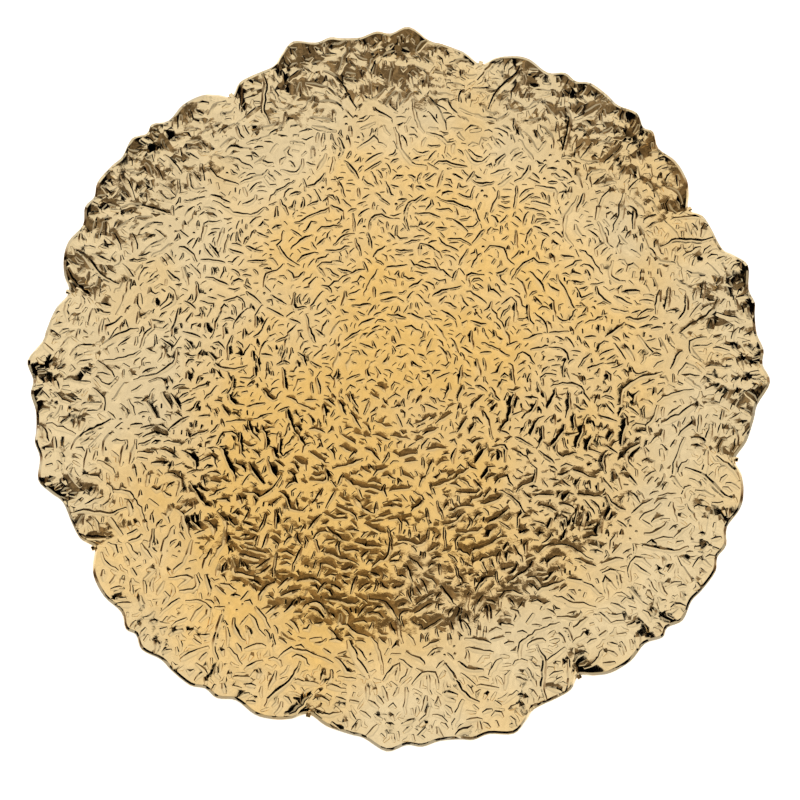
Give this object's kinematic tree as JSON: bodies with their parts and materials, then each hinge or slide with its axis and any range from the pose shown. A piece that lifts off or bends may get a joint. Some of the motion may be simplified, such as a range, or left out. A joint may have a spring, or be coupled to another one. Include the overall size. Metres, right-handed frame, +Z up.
{
  "type": "decorative tray",
  "caption": "Shallow round decorative tray with a ruffled, notched rim and a crinkled gold-plated face, moulded with a foot ring and standing on small bumper pads; its flat floor carries things.",
  "frame": {"origin": "under the middle of the tray, on the surface that its pads stand on", "axes": "+Z up out of the dish, +X to the right and +Y away from the viewer of the picture"},
  "size_m": [0.3298, 0.3298, 0.0171],
  "materials": {
    "gold_plating": "bright warm gold plating over moulded plastic, with a crinkled relief on the upper face",
    "clear_silicone": "cloudy clear silicone, satin"
  },
  "bodies": {
    "root": {"tray_shell": "gold_plating", "bumper_pad_1": "clear_silicone", "bumper_pad_2": "clear_silicone", "bumper_pad_3": "clear_silicone", "bumper_pad_4": "clear_silicone"}
  },
  "joints": []
}
